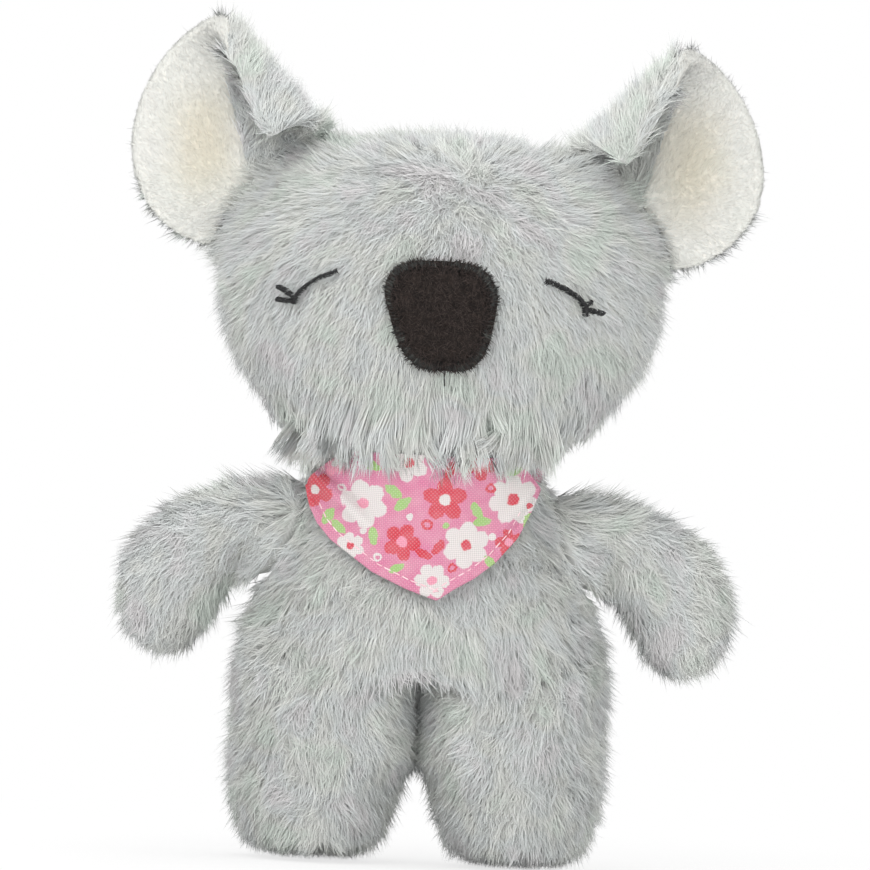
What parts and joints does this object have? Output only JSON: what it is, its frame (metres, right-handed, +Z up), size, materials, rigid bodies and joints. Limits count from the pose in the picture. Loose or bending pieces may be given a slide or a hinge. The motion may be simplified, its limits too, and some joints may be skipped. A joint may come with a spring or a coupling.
{
  "type": "plush koala",
  "caption": "Standing plush koala in grey long-pile fur with cream-lined cupped ears, felt nose, stitched sleeping eyes and a pink printed neckerchief.",
  "frame": {"origin": "on the floor between the feet, midway between the sides and between the nose and the back of the head", "axes": "+Z up, -Y the way the face looks, +X towards the koala's own left side"},
  "size_m": [0.1526, 0.0843, 0.2012],
  "materials": {
    "fur": "long-pile grey plush, pile about 9 mm, lying flat",
    "ear_lining": "short-pile cream plush",
    "filling": "loose white polyester fibre",
    "nose_felt": "dense brown-black felt",
    "thread": "black embroidery thread, slight sheen",
    "cotton": null
  },
  "bodies": {
    "torso": {"body_skin": "fur", "body_stuffing": "filling", "neckerchief_band": "cotton"},
    "neck": {"neck_stuffing": "filling"},
    "head": {"head_skin": "fur", "head_stuffing": "filling", "nose_patch": "nose_felt", "nose_border": "thread", "left_eye_stitching": "thread", "right_eye_stitching": "thread"},
    "flap": {"neckerchief_flap": "cotton"},
    "left_arm": {"left_arm_skin": "fur", "left_arm_stuffing": "filling"},
    "left_leg": {"left_leg_skin": "fur", "left_leg_stuffing": "filling"},
    "left_ear": {"left_ear_back": "fur", "left_ear_lining": "ear_lining"},
    "right_arm": {"right_arm_skin": "fur", "right_arm_stuffing": "filling"},
    "right_leg": {"right_leg_skin": "fur", "right_leg_stuffing": "filling"},
    "right_ear": {"right_ear_back": "fur", "right_ear_lining": "ear_lining"}
  },
  "joints": [
    {"name": "neck_nod", "type": "hinge", "parent": "torso", "child": "neck", "pos_m": [0, 0, 0.095], "axis": [1, 0, 0], "range_deg": [-10, 10], "stiffness_Nm_per_rad": 0.25},
    {"name": "head_turn", "type": "hinge", "parent": "neck", "child": "head", "pos_m": [0, 0, 0.095], "axis": [0, 0, 1], "range_deg": [-35, 35], "stiffness_Nm_per_rad": 0.06},
    {"name": "flap_lift", "type": "hinge", "parent": "torso", "child": "flap", "pos_m": [0, -0.0307, 0.0916], "axis": [-1, 0, 0], "range_deg": [0, 80], "stiffness_Nm_per_rad": 0.001},
    {"name": "left_arm_swing", "type": "hinge", "parent": "torso", "child": "left_arm", "pos_m": [0.0375, 0, 0.079], "axis": [-0.4147, 0, 0.91], "range_deg": [-40, 40], "stiffness_Nm_per_rad": 0.02},
    {"name": "left_leg_swing", "type": "hinge", "parent": "torso", "child": "left_leg", "pos_m": [0.02325, 0, 0.026], "axis": [1, 0, 0], "range_deg": [-30, 30], "stiffness_Nm_per_rad": 0.3},
    {"name": "left_ear_fold", "type": "hinge", "parent": "head", "child": "left_ear", "pos_m": [0.043, 0.006, 0.157], "axis": [-0.6157, 0, 0.788], "range_deg": [-20, 20], "stiffness_Nm_per_rad": 0.01},
    {"name": "right_arm_swing", "type": "hinge", "parent": "torso", "child": "right_arm", "pos_m": [-0.0375, 0, 0.079], "axis": [0.4147, 0, 0.91], "range_deg": [-40, 40], "stiffness_Nm_per_rad": 0.02},
    {"name": "right_leg_swing", "type": "hinge", "parent": "torso", "child": "right_leg", "pos_m": [-0.02325, 0, 0.026], "axis": [1, 0, 0], "range_deg": [-30, 30], "stiffness_Nm_per_rad": 0.3},
    {"name": "right_ear_fold", "type": "hinge", "parent": "head", "child": "right_ear", "pos_m": [-0.043, 0.006, 0.157], "axis": [0.6157, 0, 0.788], "range_deg": [-20, 20], "stiffness_Nm_per_rad": 0.01}
  ]
}
